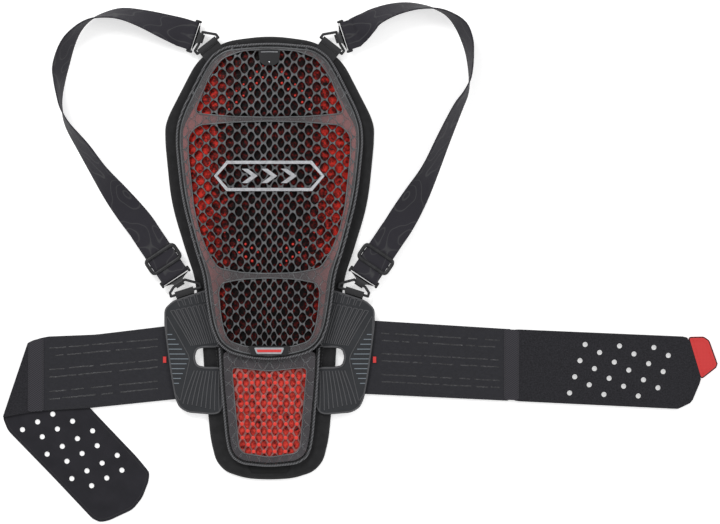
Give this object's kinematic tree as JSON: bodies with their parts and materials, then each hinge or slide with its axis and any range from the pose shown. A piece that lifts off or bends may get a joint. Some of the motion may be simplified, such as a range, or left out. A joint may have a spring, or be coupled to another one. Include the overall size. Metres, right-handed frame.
{
  "type": "motorcycle back protector",
  "caption": "Wearable back protector: a crowned honeycomb shell on a foam pad, with elastic shoulder straps and a hook-and-loop waist belt on folding side wings.",
  "frame": {"origin": "centre of the pad's flat body-side face", "axes": "+X to the right seen from outside, +Y towards the neck, +Z out of the back"},
  "size_m": [0.8053, 0.5857, 0.0339],
  "materials": {
    "foam": "laminated foam, matt",
    "lining": "mesh lining",
    "core_foam": "red viscoelastic foam",
    "smoke_shell": "smoke translucent polymer",
    "cell_mesh": "moulded cell lattice over red core",
    "tail_mesh": "moulded red lattice",
    "piping": "twill piping",
    "badge": "moulded rubber, satin",
    "badge_plate": "satin",
    "emblem_metal": "satin metallic print on rubber",
    "webbing": "woven elastic webbing",
    "wing_rubber": "moulded rubber, satin",
    "marking": "printed scale",
    "ring_plastic": "moulded nylon",
    "hook_plastic": "moulded nylon",
    "elastic": "woven elastic, matt",
    "band_fabric": "twill binding",
    "loop_fabric": "brushed loop fabric",
    "belt_lining": "smooth laminated fabric",
    "hook_tape": "hook tape",
    "red_tab": "moulded rubber tab",
    "red_tag": "red rubber"
  },
  "bodies": {
    "panel": {"back_pad": "foam", "pad_lining": "lining", "impact_core": "core_foam", "shell_frame": "smoke_shell", "cells_upper": "cell_mesh", "cells_middle": "cell_mesh", "cells_lower": "cell_mesh", "shell_piping": "piping", "tail_core": "core_foam", "tail_shell": "smoke_shell", "tail_cells": "tail_mesh", "tail_piping": "piping", "size_badge": "badge", "emblem": "emblem_metal", "lower_badge": "badge", "lower_badge_plate": "badge_plate", "upper_loop_left": "webbing", "upper_loop_right": "webbing", "wing_root_left": "wing_rubber", "wing_root_right": "wing_rubber"},
    "wing_left": {"wing_plate_left": "wing_rubber", "scale_marks_left": "marking", "lower_loop_left": "webbing"},
    "belt_left": {"belt_elastic_left": "elastic", "belt_band_left": "band_fabric", "belt_panel_left": "loop_fabric", "pointer_tag_left": "red_tag"},
    "lower_ring_left": {"lower_ring_left": "ring_plastic"},
    "strap_left": {"lower_hook_left": "hook_plastic", "shoulder_strap_left": "webbing", "upper_hook_left": "hook_plastic"},
    "slider_left": {"strap_slider_left": "hook_plastic"},
    "upper_ring_left": {"upper_ring_left": "ring_plastic"},
    "wing_right": {"wing_plate_right": "wing_rubber", "scale_marks_right": "marking", "lower_loop_right": "webbing"},
    "belt_right": {"belt_elastic_right": "elastic", "belt_band_right": "band_fabric", "belt_panel_right": "loop_fabric", "pointer_tag_right": "red_tag", "hook_patch_right": "hook_tape", "pull_tab_right": "red_tab"},
    "lower_ring_right": {"lower_ring_right": "ring_plastic"},
    "strap_right": {"lower_hook_right": "hook_plastic", "shoulder_strap_right": "webbing", "upper_hook_right": "hook_plastic"},
    "slider_right": {"strap_slider_right": "hook_plastic"},
    "upper_ring_right": {"upper_ring_right": "ring_plastic"},
    "flap_left": {"belt_flap_left": "belt_lining"}
  },
  "joints": [
    {"name": "wing_fold_left", "type": "hinge", "parent": "panel", "child": "wing_left", "pos_m": [-0.08726, 0, 0.008], "axis": [0.0986, -0.9951, 0], "range_deg": [0, 60]},
    {"name": "belt_slide_left", "type": "slide", "parent": "wing_left", "child": "belt_left", "axis": [-0.1415, 0.9899, 0], "range_m": [-0.0275, 0.0275]},
    {"name": "lower_ring_lift_left", "type": "hinge", "parent": "wing_left", "child": "lower_ring_left", "pos_m": [-0.094, -0.038, 0.0102], "axis": [0.9537, 0.3007, 0], "range_deg": [0, 50]},
    {"name": "strap_lift_left", "type": "hinge", "parent": "lower_ring_left", "child": "strap_left", "pos_m": [-0.1015, -0.0285, 0.0102], "axis": [0.829, 0.5592, 0], "range_deg": [0, 40]},
    {"name": "slider_slide_left", "type": "slide", "parent": "strap_left", "child": "slider_left", "axis": [-0.5584, 0.8296, 0], "range_m": [-0.004, 0.024]},
    {"name": "upper_ring_drop_left", "type": "hinge", "parent": "panel", "child": "upper_ring_left", "pos_m": [-0.0695, 0.239, 0.01], "axis": [-0.7859, -0.6184, 0], "range_deg": [0, 50]},
    {"name": "wing_fold_right", "type": "hinge", "parent": "panel", "child": "wing_right", "pos_m": [0.08726, 0, 0.008], "axis": [0.0986, 0.9951, 0], "range_deg": [0, 60]},
    {"name": "belt_slide_right", "type": "slide", "parent": "wing_right", "child": "belt_right", "axis": [0.1415, 0.9899, 0], "range_m": [-0.0275, 0.0275]},
    {"name": "lower_ring_lift_right", "type": "hinge", "parent": "wing_right", "child": "lower_ring_right", "pos_m": [0.094, -0.038, 0.0102], "axis": [0.9537, -0.3007, 0], "range_deg": [0, 50]},
    {"name": "strap_lift_right", "type": "hinge", "parent": "lower_ring_right", "child": "strap_right", "pos_m": [0.1015, -0.0285, 0.0102], "axis": [0.829, -0.5592, 0], "range_deg": [0, 40]},
    {"name": "slider_slide_right", "type": "slide", "parent": "strap_right", "child": "slider_right", "axis": [0.5584, 0.8296, 0], "range_m": [-0.004, 0.024]},
    {"name": "upper_ring_drop_right", "type": "hinge", "parent": "panel", "child": "upper_ring_right", "pos_m": [0.0695, 0.239, 0.01], "axis": [-0.7859, 0.6184, 0], "range_deg": [0, 50]},
    {"name": "flap_unfold", "type": "hinge", "parent": "belt_left", "child": "flap_left", "pos_m": [-0.2867, -0.1376, 0.00185], "axis": [0.3189, 0.9478, 0], "range_deg": [0, 175]}
  ]
}
